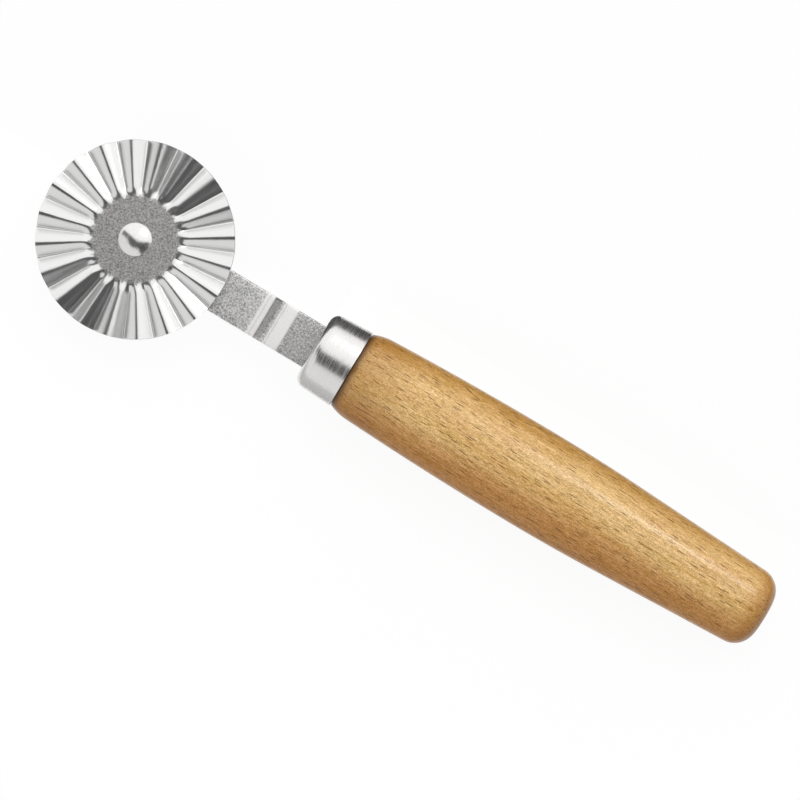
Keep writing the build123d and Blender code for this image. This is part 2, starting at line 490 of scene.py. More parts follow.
@dataclass(frozen=True)
class PressedSteel(GrittySteel):
    """Bright steel sheet, tumbled matt and then pressed into flutes.

    The flat hub keeps the dull tumbled grain. The die has burnished the flutes, which reflect like a mirror
    with faint streaks along them, and each facet ends in a round, ragged edge at the hub.
    """

    name: str = "steel_sheet_tumbled_and_pressed"
    dark: str = "#666564"
    light: str = "#D5D3D2"
    speck: float = 0.27 * MM
    speck_relief: float = 0.01 * MM
    dullness: Point = (0.5, 0.36)
    burnished: str = "#E0E0DF"
    gloss: Point = (0.17, 0.27)
    grain_radius: float = 7.9 * MM
    grain_edge: float = 0.5 * MM
    tooth: float = 0.55 * MM
    scallop: float = 0.9 * MM
    scallop_octaves: float = 2
    facets: int = 2 * FLUTES
    fold_angle: float = RIDGE_ANGLE
    streak: Point = (9.0 * MM, 0.8 * MM)
    streak_radius: float = 14.0 * MM
    streak_relief: float = 0.03 * MM
    streak_levels: Point = (0.3, 0.7)

    def teeth(self, add: Add, place: Socket) -> Socket:
        """Counts how near a place is to a fold, for the teeth of dull steel that reach out along the folds.

        Args:
            add: adds nodes to the tree.
            place: coordinates from the middle of the wheel.

        Returns:
            About 1 at a fold and a half along the middle of a facet, unevenly.
        """
        turn = add("ShaderNodeTexGradient", {"Vector": place}, out="Fac", gradient_type="RADIAL")
        first_fold = -self.facets * (0.5 + self.fold_angle / 360)
        count = add(MATH, (turn, self.facets, first_fold), "MULTIPLY_ADD")
        from_fold = add(MATH, (count, 0.5), "PINGPONG")
        near = add(RANGE, (from_fold, 0.5, 0), **SMOOTH)
        uneven = add(NOISE, {"Vector": place, "Scale": 1 / self.scallop, "Detail": self.scallop_octaves})
        return add(MATH, (near, uneven, uneven), "MULTIPLY_ADD")

    def dress(self, add: Add, place: Socket) -> Inputs:
        """Draws grain on the hub, and a streaky mirror on the flutes.

        Args:
            add: adds nodes to the tree.
            place: coordinates from the middle of the wheel.

        Returns:
            The inputs of the shader.
        """
        specks, grain, dull = self.grit(add, place)
        flat = add(VECTOR_MATH, (place, (1, 1, 0)), "MULTIPLY")
        radius = add(VECTOR_MATH, (flat,), "LENGTH", out="Value")
        ragged = add(MATH, (specks, 2 * self.grain_edge, radius), "MULTIPLY_ADD")
        teeth = self.teeth(add, place)
        edge = add(MATH, (teeth, -2 * self.tooth, ragged), "MULTIPLY_ADD")
        begin = self.grain_radius + self.grain_edge / 2
        burnish = add(RANGE, (edge, begin, begin + self.grain_edge), **SMOOTH)
        colour = add(MIX, {0: burnish, 6: grain, 7: linear(self.burnished)}, **COLOURS)

        # Streaks: as long as given along the radius, and as wide as given at the streaks' own radius
        spoke = add(VECTOR_MATH, (flat,), "NORMALIZE")
        out = add("ShaderNodeCombineXYZ", {2: radius})
        ring = (self.streak_radius, self.streak_radius, 0)
        unrolled = add(VECTOR_MATH, (spoke, ring, out), "MULTIPLY_ADD")
        length, width = self.streak
        drawn = add(MAPPING, {"Vector": unrolled, "Scale": (1 / width, 1 / width, 1 / length)})
        streaks = add(NOISE, {"Vector": drawn, "Scale": 1, "Detail": self.octaves})

        gloss = add(RANGE, (streaks, *self.streak_levels, *self.gloss))
        roughness = add(RANGE, (burnish, 0, 1, dull, gloss))
        depth = add(RANGE, (burnish, 0, 1, self.speck_strength, 0))
        pits = add(BUMP, {"Height": specks, "Distance": self.speck_relief, "Strength": depth})
        relief = {"Height": streaks, "Distance": self.streak_relief, "Strength": burnish, "Normal": pits}
        waves = add(BUMP, relief)
        return {"Metallic": 1, "Base Color": colour, "Roughness": roughness, "Normal": waves}


@dataclass(frozen=True)
class MirrorMetal(Finish):
    """Bright metal with fine uneven marks, which vary its gloss and its slope."""

    colour: str
    mark: Triple
    octaves: float
    mark_levels: Point
    gloss: Point
    relief: float
    strength: float = 0.3

    def dress(self, add: Add, place: Socket) -> Inputs:
        """Draws the marks.

        Args:
            add: adds nodes to the tree.
            place: coordinates from the middle of the wheel.

        Returns:
            The inputs of the shader.
        """
        drawn = add(MAPPING, {"Vector": place, "Scale": [1 / size for size in self.mark]})
        marks = add(NOISE, {"Vector": drawn, "Scale": 1, "Detail": self.octaves})
        roughness = add(RANGE, (marks, *self.mark_levels, *self.gloss))
        slope = add(BUMP, {"Height": marks, "Distance": self.relief, "Strength": self.strength})
        return {"Metallic": 1, "Base Color": linear(self.colour), "Roughness": roughness, "Normal": slope}


@dataclass(frozen=True)
class PolishedSteel(MirrorMetal):
    """Steel rivet, headed cold and buffed.

    The dome is a clean mirror with a few faint rubs, which have no depth.
    """

    name: str = "steel_rivet_buffed"
    colour: str = "#E3E2E1"
    mark: Triple = (0.8 * MM, 0.8 * MM, 0.8 * MM)
    octaves: float = 5
    mark_levels: Point = (0.35, 0.7)
    gloss: Point = (0.18, 0.3)
    relief: float = 0.0


@dataclass(frozen=True)
class NickelPlate(MirrorMetal):
    """Drawn steel cap, plated with nickel and polished while it turned.

    The plate is a little warm, and the polishing wheel leaves hair-fine rings round the cap, which fray the
    edges of what it reflects. Real rings are finer than these, which are drawn wide enough to show.
    """

    name: str = "nickel_plate_lathe_polished"
    colour: str = "#E2E0DE"
    mark: Triple = (0.22 * MM, 5.0 * MM, 5.0 * MM)
    octaves: float = 3
    mark_levels: Point = (0.3, 0.7)
    gloss: Point = (0.18, 0.36)
    relief: float = 0.004 * MM


# Ends of the handle's grip, behind the axle
NECK = reach("ferrule")[1].x
BUTT = reach("handle")[1].x


@dataclass(frozen=True)
class LacqueredBeech(Finish):
    """Steamed beech, turned, sanded and dipped in clear lacquer.

    Beech is honey coloured, finely fibrous and strewn with short dark ray flecks along the grain. Long soft
    bands and ruddy patches run through it, and the end grain drinks the lacquer and goes dark at the butt.
    Painted shadow darkens the neck at the ferrule's mouth, and painted shade darkens both sides of the grip,
    with darker heartwood on one. Real fibres and pores are several times finer than these, which are drawn
    wide enough to show.
    """

    name: str = "beech_turned_and_lacquered"
    pale: str = "#DEBA7E"
    deep: str = "#D7B070"
    ruddy: str = "#CB9C61"
    heartwood_and_shade: str = "#B98B47"
    shade_away_from_pith: str = "#C08641"
    fleck: str = "#643C12"
    toned: str = "#AE7122"
    end_grain_and_shadow: str = "#54320F"
    grain_lean: float = -2.5

    # Uneven layers: length along the grain, width and octaves
    fibre: Triple = (1.4 * MM, 0.2 * MM, 3)
    pore: Triple = (0.3 * MM, 0.19 * MM, 2)
    streak: Triple = (7.0 * MM, 0.55 * MM, 2)
    band: Triple = (55.0 * MM, 3.6 * MM, 2)
    patch: Triple = (24.0 * MM, 4.2 * MM, 3)

    # Year rings about the pith, as a wave that turns by so many radians in each unit of its scale
    pith: Triple = (98.0 * MM, 30.0 * MM, -4.0 * MM)
    pith_lean: float = 1.2
    ring_spacing: float = 2.4 * MM
    wave_rate: float = 20.0
    ring_wander: float = 3
    ring_octaves: float = 2
    ring_octave_scale: float = 0.3

    # How far each layer changes the one under it
    ring_share: float = 0.2
    pore_share: float = 0.55
    streak_share: float = 0.2
    tone_levels: Point = (0.34, 0.66)
    hair_levels: Point = (0.37, 0.63)
    hair_hue: Point = (0.494, 0.5)
    hair_saturation: Point = (1.16, 0.9)
    hair_value: Point = (0.58, 1.4)
    patch_levels: Triple = (0.48, 0.7, 0.5)

    # Tinted zones, by distance from the pith, and how much of the tint they take: darker heartwood that also
    # paints shade along the side nearest the pith, and painted shade along the side away from it
    heartwood_and_shade_reach: Point = (29.5 * MM, 21.0 * MM)
    shade_away_from_pith_reach: Point = (33.6 * MM, 38.4 * MM)
    zone_share: float = 0.9

    # Flecks: where each fades out, in half sizes, and how chance sets its depth
    fleck_spacing: Triple = (2.8 * MM, 0.9 * MM, 0.5 * MM)
    fleck_half: Triple = (1.15 * MM, 0.095 * MM, 0.25 * MM)
    fleck_edge: Point = (1.0, 0.7)
    fleck_chance: Triple = (0.05, 0.6, 0.95)

    # Dark ends: where each stretch begins, where it is full, and how full. The soaked stretches at the neck
    # are painted shadow of the ferrule's mouth, and the one at the butt is end grain
    toned_ends: tuple[Triple, ...] = (
        (BUTT - 6.8 * MM, BUTT - 1.0 * MM, 0.75),
        (NECK + 16.0 * MM, NECK, 0.35),
    )
    soaked_butt_and_neck_shadow: tuple[Triple, ...] = (
        (NECK + 2.2 * MM, NECK, 1.0),
        (NECK + 3.4 * MM, NECK, 0.5),
        (NECK + 16.0 * MM, NECK, 0.15),
        (BUTT - 2.5 * MM, BUTT, 0.35),
    )

    # Satin lacquer over open pores
    roughness: float = 0.5
    specular: float = 0.1
    coat: float = 0.6
    coat_roughness: float = 0.24
    pore_relief: float = 0.02 * MM
    pore_strength: float = 0.3

    def along_grain(self, add: Add, place: Socket, size: Sequence[float]) -> Socket:
        """Makes a length along the leaning grain, a width and, if it differs, a depth one unit each."""
        fit = {"Rotation": (0, 0, math.radians(self.grain_lean)), "Scale": (*size[:2], size[-1])}
        return add(MAPPING, {"Vector": place, **fit}, vector_type="TEXTURE")

    def figure(self, add: Add, place: Socket) -> tuple[Socket, Socket]:
        """Draws the plain wood: bands, year rings and fibres, with ruddy patches and painted shade on both
        sides.

        Args:
            add: adds nodes to the tree.
            place: coordinates from the middle of the wheel.

        Returns:
            The colour, and the height of the fibres.
        """
        fibre, pore, streak, band, patch = (
            add(NOISE, {"Vector": self.along_grain(add, place, size), "Scale": 1, "Detail": octaves})
            for *size, octaves in (self.fibre, self.pore, self.streak, self.band, self.patch)
        )
        lean = (0, 0, math.radians(self.pith_lean))
        log = add(MAPPING, {"Vector": place, "Location": self.pith, "Rotation": lean}, vector_type="TEXTURE")
        wave = {
            "Vector": log,
            "Scale": math.tau / (self.wave_rate * self.ring_spacing),
            "Distortion": self.ring_wander,
            "Detail": self.ring_octaves,
            "Detail Scale": self.ring_octave_scale,
        }
        rings = add("ShaderNodeTexWave", wave, out="Fac", wave_type="RINGS", rings_direction="X")
        tone = add(RANGE, (self.ring_share, 0, 1, band, rings))
        shade = add(RANGE, (tone, *self.tone_levels))
        colour = add(MIX, {0: shade, 6: linear(self.deep), 7: linear(self.pale)}, **COLOURS)
        hair = add(RANGE, (self.pore_share, 0, 1, fibre, pore))
        hair = add(RANGE, (self.streak_share, 0, 1, hair, streak))
        hue, saturation, value = (
            add(RANGE, (hair, *self.hair_levels, *change))
            for change in (self.hair_hue, self.hair_saturation, self.hair_value)
        )
        begin, end, depth = self.patch_levels
        tints = [(add(RANGE, (patch, begin, end, 0, depth)), self.ruddy)]
        across = add(VECTOR_MATH, (log, (0, 1, 1)), "MULTIPLY")
        from_pith = add(VECTOR_MATH, (across,), "LENGTH", out="Value")
        # Painted shade: with darker heartwood on the side nearest the pith, and alone on the side away from
        # it
        for span, tint in ((self.heartwood_and_shade_reach, self.heartwood_and_shade), (self.shade_away_from_pith_reach, self.shade_away_from_pith)):
            levels = (from_pith, *span, 0, self.zone_share)
            tints.append((add(RANGE, levels, **SMOOTH), tint))
        for share, tint in tints:
            colour = add(MIX, {0: share, 6: colour, 7: linear(tint)}, **COLOURS)
        change = {"Color": colour, "Hue": hue, "Saturation": saturation, "Value": value}
        return add("ShaderNodeHueSaturation", change), fibre

    def flecks(self, add: Add, place: Socket) -> Socket:
        """Scatters ray flecks, each as dark as chance has it.

        Args:
            add: adds nodes to the tree.
            place: coordinates from the middle of the wheel.

        Returns:
            How much of the colour is fleck, from 0 to 1.
        """
        grain = self.along_grain(add, place, self.fleck_spacing)
        cells = add("ShaderNodeTexVoronoi", {"Vector": grain, "Scale": 1}).node.outputs
        slim = tuple(spacing / half for spacing, half in zip(self.fleck_spacing, self.fleck_half))
        offset = add(VECTOR_MATH, (grain, cells["Position"]), "SUBTRACT")
        shaped = add(VECTOR_MATH, (offset, slim), "MULTIPLY")
        distance = add(VECTOR_MATH, (shaped,), "LENGTH", out="Value")
        spots = add(RANGE, (distance, *self.fleck_edge))
        draw = add("ShaderNodeSeparateColor", (cells["Color"],))
        begin, end, depth = self.fleck_chance
        chance = add(RANGE, (draw, begin, end, 0, depth))
        return add(MATH, (spots, chance), "MULTIPLY")

    def ends(self, add: Add, place: Socket, stretches: Sequence[Triple]) -> Socket:
        """Marks stretches of the handle that drank more lacquer, or that take painted shadow by the ferrule.

        Args:
            add: adds nodes to the tree.
            place: coordinates from the middle of the wheel.
            stretches: where each one begins and is full, and how full.

        Returns:
            How full a place is, from 0 to 1.
        """
        along = add("ShaderNodeSeparateXYZ", (place,))
        share = 0
        for begin, end, depth in stretches:
            levels = (along, begin, end, 0, depth)
            stretch = add(RANGE, levels, **SMOOTH)
            share = add(MATH, (share, stretch), "MAXIMUM")
        return share

    def dress(self, add: Add, place: Socket) -> Inputs:
        """Draws figure, flecks, dark ends and painted shadow at the neck under a satin coat.

        Args:
            add: adds nodes to the tree.
            place: coordinates from the middle of the wheel.

        Returns:
            The inputs of the shader.
        """
        colour, fibres = self.figure(add, place)
        toned = self.ends(add, place, self.toned_ends)
        soaked_and_shadowed = self.ends(add, place, self.soaked_butt_and_neck_shadow)
        flecks = self.flecks(add, place)
        # The last tint is the butt's dark end grain and the painted shadow on the neck at the ferrule's mouth
        for share, tint in ((toned, self.toned), (flecks, self.fleck), (soaked_and_shadowed, self.end_grain_and_shadow)):
            colour = add(MIX, {0: share, 6: colour, 7: linear(tint)}, **COLOURS)
        relief = {"Height": fibres, "Distance": self.pore_relief, "Strength": self.pore_strength}
        return {
            "Base Color": colour,
            "Normal": add(BUMP, relief),
            "Roughness": self.roughness,
            "Specular IOR Level": self.specular,
            "Coat Weight": self.coat,
            "Coat Roughness": self.coat_roughness,
        }


@dataclass
class FlutedWheel:
    """Corrugated disc that spins on the rivet. A rule gives its height at each place on the sheet."""

    hub_radius: float = 8.5 * MM
    run_in: float = 2.1 * MM
    sheet: float = 0.9 * MM
    depth: float = 2.3 * MM
    flutes: int = FLUTES
    ridge_angle: float = RIDGE_ANGLE
    front_bends: Point = (1.5 * MM, 0.2 * MM)
    back_bends: Point = (0.3 * MM, 0.88 * MM)
    bend_spread: float = 3.0
    bore_radius: float = 2.31 * MM
    edge_rounding: float = 0.05 * MM
    crease: float = 60.0
    radial_steps: int = 40
    edge_steps: int = 4
    steps_per_flute: int = 40

    def disc_tree(self, values: dict[str, Any]) -> tuple[Tree, dict[str, str]]:
        """Builds the rule as a node tree.

        A grid is wrapped into the sheet. One way it runs out along the front, over the rim, back along the
        rear and up the bore. The other way it runs once round the axle.

        Args:
            values: the value of each input that the tree is to have, by name.

        Returns:
            The tree and the identifier of each of its inputs.
        """
        tree = bpy.data.node_groups.new("fluted_disc", "GeometryNodeTree")
        add = partial(add_node, tree)
        kinds = {int: "NodeSocketInt", Vector: "NodeSocketVector", Material: "NodeSocketMaterial"}
        identifiers = {}
        for name, value in values.items():
            kind = kinds.get(type(value), "NodeSocketFloat")
            identifiers[name] = tree.interface.new_socket(name, in_out="INPUT", socket_type=kind).identifier
        tree.interface.new_socket("Disc", in_out="OUTPUT", socket_type="NodeSocketGeometry")
        size = add("NodeGroupInput").node.outputs

        front, edge = self.radial_steps, self.edge_steps
        steps = 2 * (front + edge)
        grid = add("GeometryNodeMeshGrid", (1, 1, steps + 1, self.flutes * self.steps_per_flute + 1))
        spot = add("GeometryNodeInputPosition")
        wrap = add("ShaderNodeSeparateXYZ", (spot,)).node.outputs

        # Way round the section of the sheet, as four shares that each run from 0 to 1 in turn
        shares = []
        begin = 0
        for length in (front, edge, front, edge):
            span = (begin / steps - 0.5, (begin + length) / steps - 0.5)
            shares.append(add(RANGE, (wrap[0], *span)))
            begin += length
        out, over_rim, back, up_bore = shares
        travel = add(MATH, (out, back), "SUBTRACT")
        inner = add(MATH, (size["Bore Radius"], size["Edge Rounding"]), "ADD")
        outer = add(MATH, (size["Rim Radius"], size["Edge Rounding"]), "SUBTRACT")
        run = add(RANGE, (travel, 0, 1, inner, outer))
        turns = [add(MATH, (share, math.pi), "MULTIPLY") for share in (over_rim, up_bore)]
        bulges = [add(MATH, (turn,), "SINE") for turn in turns]
        bulge = add(MATH, bulges, "SUBTRACT")
        radius = add(MATH, (bulge, size["Edge Rounding"], run), "MULTIPLY_ADD")
        turned_over = add(MATH, turns, "ADD")
        side = add(MATH, (turned_over,), "COSINE")

        # Way round the axle, counted in flutes from a ridge
        count = add(RANGE, (wrap[1], -0.5, 0.5, 0, size["Flutes"]))
        pitch = add(MATH, (math.tau, size["Flutes"]), "DIVIDE")
        angle = add(MATH, (count, pitch, size["Ridge Angle"]), "MULTIPLY_ADD")
        phase = add(MATH, (count, 0.5, -0.5), "WRAP")
        from_ridge = add(MATH, (phase,), "ABSOLUTE")
        from_valley = add(MATH, (0.5, from_ridge), "SUBTRACT")

        # Bends of the ridges and valleys on the front and on the back, rounded by a smooth maximum.
        # A bend that rounds a straight fold off by half its width takes three times that width.
        # The straight wave falls from 1 at a ridge to -1 at a valley, half a flute on, so by 4 in a flute.
        rim_pitch = add(MATH, (pitch, size["Rim Radius"]), "MULTIPLY")
        heights = []
        for fold, distance, rise in (("Ridge", from_ridge, -4), ("Valley", from_valley, 4)):
            bends = []
            for name in (f"Back {fold}", f"Front {fold}"):
                wide = add(MATH, (size[name], self.bend_spread), "MULTIPLY")
                bends.append(add(MATH, (wide, rim_pitch), "DIVIDE"))
            bend = add(RANGE, (side, -1, 1, *bends))
            mirrored = add(MATH, (distance, -1), "MULTIPLY")
            soft = add(MATH, (distance, mirrored, bend), "SMOOTH_MAX")
            level = -math.copysign(1, rise)
            heights.append(add(MATH, (soft, rise, level), "MULTIPLY_ADD"))
        near_valley = add(MATH, (from_ridge, 0.25), "GREATER_THAN")
        wave = add(RANGE, (near_valley, 0, 1, *heights))

        # Depth grows with the radius, after a run-in from the flat hub
        full = add(MATH, (size["Hub Radius"], size["Run-In"]), "ADD")
        grown = add(RANGE, (radius, size["Hub Radius"], full), **SMOOTH)
        share = add(MATH, (radius, size["Rim Radius"]), "DIVIDE")
        swing = add(MATH, (size["Depth"], 2), "DIVIDE")
        for factor in (grown, share, wave):
            swing = add(MATH, (swing, factor), "MULTIPLY")
        half_sheet = add(MATH, (size["Sheet"], 2), "DIVIDE")
        height = add(MATH, (side, half_sheet, swing), "MULTIPLY_ADD")

        spokes = [add(MATH, (angle,), turn) for turn in ("COSINE", "SINE")]
        across = [add(MATH, (spoke, radius), "MULTIPLY") for spoke in spokes]
        place = add("ShaderNodeCombineXYZ", (*across, height))
        placed = add(VECTOR_MATH, (place, size["Axle"]), "ADD")
        bent = add("GeometryNodeSetPosition", {"Geometry": grid, "Position": placed})
        closed = add("GeometryNodeMergeByDistance", {"Geometry": bent, "Distance": MERGE})
        real = add("GeometryNodeRealizeInstances", {"Geometry": closed})
        dressed = add("GeometryNodeSetMaterial", {"Geometry": real, "Material": size["Material"]})
        add("NodeGroupOutput", (dressed,))
        return tree, identifiers

    def build(self) -> Thing:
        """Runs the rule and puts the disc in place.

        Returns:
            The wheel.
        """
        low, high = reach("fluted_wheel")
        material = PressedSteel().material()
        values = {
            "Rim Radius": (high.x - low.x) / 2,
            "Bore Radius": self.bore_radius,
            "Hub Radius": self.hub_radius,
            "Run-In": self.run_in,
            "Sheet": self.sheet,
            "Depth": self.depth,
            "Ridge Angle": math.radians(self.ridge_angle),
            "Front Ridge": self.front_bends[0],
            "Front Valley": self.front_bends[1],
            "Back Ridge": self.back_bends[0],
            "Back Valley": self.back_bends[1],
            "Edge Rounding": self.edge_rounding,
            "Flutes": self.flutes,
            "Axle": AXLE,
            "Material": material,
        }
        tree, identifiers = self.disc_tree(values)
        holder = linked("disc_holder", bpy.data.meshes.new("disc_holder"))
        rule = holder.modifiers.new("rule", "NODES")
        rule.node_group = tree
        for name, value in values.items():
            rule[identifiers[name]] = value
        shape = bmesh.new()
        shape.from_mesh(plain_copy(holder))
        mesh = as_mesh(shape, self.crease)
        return set_up("corrugated_disc", mesh, material, "fluted_wheel", Body.WHEEL)


@dataclass
class Axle:
    """Rivet that the wheel turns on, and the washer that keeps the flutes clear of the strip."""

    shoulder_radius: float = 2.25 * MM
    head_edge: float = 0.25 * MM
    neck_radius: float = 1.7 * MM
    tail_radius: float = 2.9 * MM
    tail_crown: float = 0.6 * MM
    washer_bore: float = 1.73 * MM
    washer_rounding: float = 0.15 * MM
    lip: float = 0.08 * MM
    step: float = 0.4 * MM
    sides: int = 72
    dome_steps: int = 18

    def dome(self, foot: float, top: float, radius: float) -> list[Point]:
        """Spaces points over a dome, from its top down to its foot.

        Args:
            foot: height of the foot.
            top: height of the top, above or below the foot.
            radius: radius of the foot.

        Returns:
            Heights and radii.
        """
        rise = abs(top - foot)
        ball = (radius**2 + rise**2) / (2 * rise)
        half = math.asin(radius / ball)
        towards = math.copysign(1, top - foot)
        angles = [half * k / self.dome_steps for k in range(self.dome_steps + 1)]
        return [(top - towards * ball * (1 - math.cos(a)), ball * math.sin(a)) for a in angles]

    def rivet(self) -> Thing:
        """Turns the rivet: domed head, shoulder, neck and peened tail.

        Returns:
            The rivet.
        """
        low, high = reach("axle_rivet")
        washer_top = reach("spacer_washer")[1].z
        head_radius = (high.x - low.x) / 2
        seat = -washer_top
        shank_back = reach("shank")[0].z
        crown = self.dome(seat + self.head_edge, high.z, head_radius)
        tail = self.dome(low.z + self.tail_crown, low.z, self.tail_radius)
        corners = [
            (*crown[-1], 0),
            (seat, head_radius, self.lip),
            (seat, self.shoulder_radius, 0),
            (washer_top, self.shoulder_radius, 0),
            (washer_top, self.neck_radius, 0),
            (shank_back, self.neck_radius, 0),
            (shank_back, self.tail_radius, self.lip),
            (*tail[-1], 0),
        ]
        outline = crown[:-1] + rounded(corners, self.step) + tail[-2::-1]
        mesh = turned(outline, TurnAxis.AXLE, self.sides)
        material = PolishedSteel().material()
        return set_up("domed_rivet", mesh, material, "axle_rivet", Body.HANDLE_SET)

    def washer(self, material: Material) -> Thing:
        """Turns the washer.

        Args:
            material: the strip's finish, which the washer shares.

        Returns:
            The washer.
        """
        low, high = reach("spacer_washer")
        radius = (high.x - low.x) / 2
        corners = [
            (low.z, self.washer_bore, 0),
            (low.z, radius, self.washer_rounding),
            (high.z, radius, self.washer_rounding),
            (high.z, self.washer_bore, 0),
        ]
        mesh = turned(rounded(corners, self.step), TurnAxis.AXLE, self.sides, ends=False)
        return set_up("plain_washer", mesh, material, "spacer_washer", Body.HANDLE_SET)


@dataclass
class Shank:
    """Flat strip with a round end behind the wheel, a joggle up to the handle's axis, and a tang."""

    thickness: float = 1.5 * MM
    end_rounding: float = 4.5 * MM
    edge_rounding: float = 0.3 * MM
    wheel_radius: float = 20.0 * MM
    rim_to_joggle: float = 9.8 * MM
    joggle_angle: float = 52.0
    bend_radius: float = 1.2 * MM
    tang_step: float = 0.1 * MM
    root_width: float = 6.4 * MM
    tip_width: float = 3.6 * MM
    hole_radius: float = 1.73 * MM
    hole_sides: int = 48
    bend_steps: int = 14

    def stations(self, low: Vector, high: Vector) -> list[tuple[float, float, float, float]]:
        """Lays the middle of the strip out in the upright plane.

        Args:
            low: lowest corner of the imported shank.
            high: its highest corner.

        Returns:
            Distance behind the axle, height, slope in radians and half the strip's width at each place.
        """
        slope = math.radians(self.joggle_angle)
        bottom, top = low.z + self.thickness / 2, high.z - self.thickness / 2
        half, end, radius = high.y, self.end_rounding, self.bend_radius
        first = self.wheel_radius + self.rim_to_joggle
        rise = top - bottom - 2 * radius * (1 - math.cos(slope))
        second = first + 2 * radius * math.sin(slope) + rise / math.tan(slope)
        shares = [k / self.bend_steps for k in range(self.bend_steps + 1)]
        line = []
        for a in (math.pi / 2 * share for share in shares):
            line.append((low.x + end * (1 - math.cos(a)), bottom, 0.0, half - end * (1 - math.sin(a))))
        turns = [slope * share for share in shares]
        line += [(first + radius * math.sin(a), bottom + radius * (1 - math.cos(a)), a, half) for a in turns]
        turns.reverse()
        line += [(second - radius * math.sin(a), top - radius * (1 - math.cos(a)), a, half) for a in turns]
        tenon_front = reach("handle")[0].x
        line.append((tenon_front - self.tang_step, top, 0.0, half))
        line.append((tenon_front, top, 0.0, self.root_width / 2))
        line.append((high.x, top, 0.0, self.tip_width / 2))
        return line

    def build(self, material: Material) -> Thing:
        """Skins the strip and drills the hole for the rivet.

        Args:
            material: the strip's finish.

        Returns:
            The shank.
        """
        low, high = reach("shank")
        half, thick = high.y, self.thickness / 2
        corners = [(half, 0, 0)]
        for y, z in ((half, thick), (-half, thick), (-half, -thick), (half, -thick)):
            corners.append((y, z, self.edge_rounding))
        section = rounded(corners + [(half, 0, 0)], step=(half + self.edge_rounding) / 2)[:-1]
        rings = []
        for x, z, slope, width in self.stations(low, high):
            up = Vector((-math.sin(slope), 0, math.cos(slope)))
            middle = AXLE + Vector((x, 0, z))
            rings.append([middle + Vector((0, y * width / half, 0)) + up * rise for y, rise in section])
        strip = loft(rings, True)
        angles = [math.tau * k / self.hole_sides for k in range(self.hole_sides)]
        circle = [(self.hole_radius * math.cos(a), self.hole_radius * math.sin(a)) for a in angles]
        mesh = carved(strip, prism(circle, low.z - self.thickness, low.z + 2 * self.thickness))
        return set_up("joggled_shank", mesh, material, "shank", Body.HANDLE_SET)


@dataclass
class Ferrule:
    """Drawn cap over the front of the handle, with a slot for the strip."""

    front_radius: float = 8.05 * MM
    wall: float = 0.6 * MM
    rounding: float = 2.0 * MM
    lip: float = 0.04 * MM
    slot_half: Point = (4.8 * MM, 0.85 * MM)
    step: float = 0.5 * MM
    sides: int = 160

    def build(self) -> Thing:
        """Turns the shell and cuts the slot.

        Returns:
            The ferrule.
        """
        low, high = reach("ferrule")
        front, mouth, radius = low.x, high.x, high.y
        corners = [
            (front, 0, 0),
            (front, self.front_radius, self.rounding),
            (mouth, radius, self.lip),
            (mouth, radius - self.wall, self.lip),
            (front + self.wall, self.front_radius - self.wall, self.rounding - self.wall),
            (front + self.wall, 0, 0),
        ]
        shell = turned(rounded(corners, self.step), TurnAxis.HANDLE, self.sides)
        across, up = self.slot_half
        plan = [(front - self.wall, -across), (front + 2 * self.wall, -across)]
        plan += [(x, across) for x, _ in reversed(plan)]
        mesh = carved(shell, prism(plan, -up, up))
        material = NickelPlate().material()
        return set_up("drawn_ferrule", mesh, material, "ferrule", Body.HANDLE_SET)


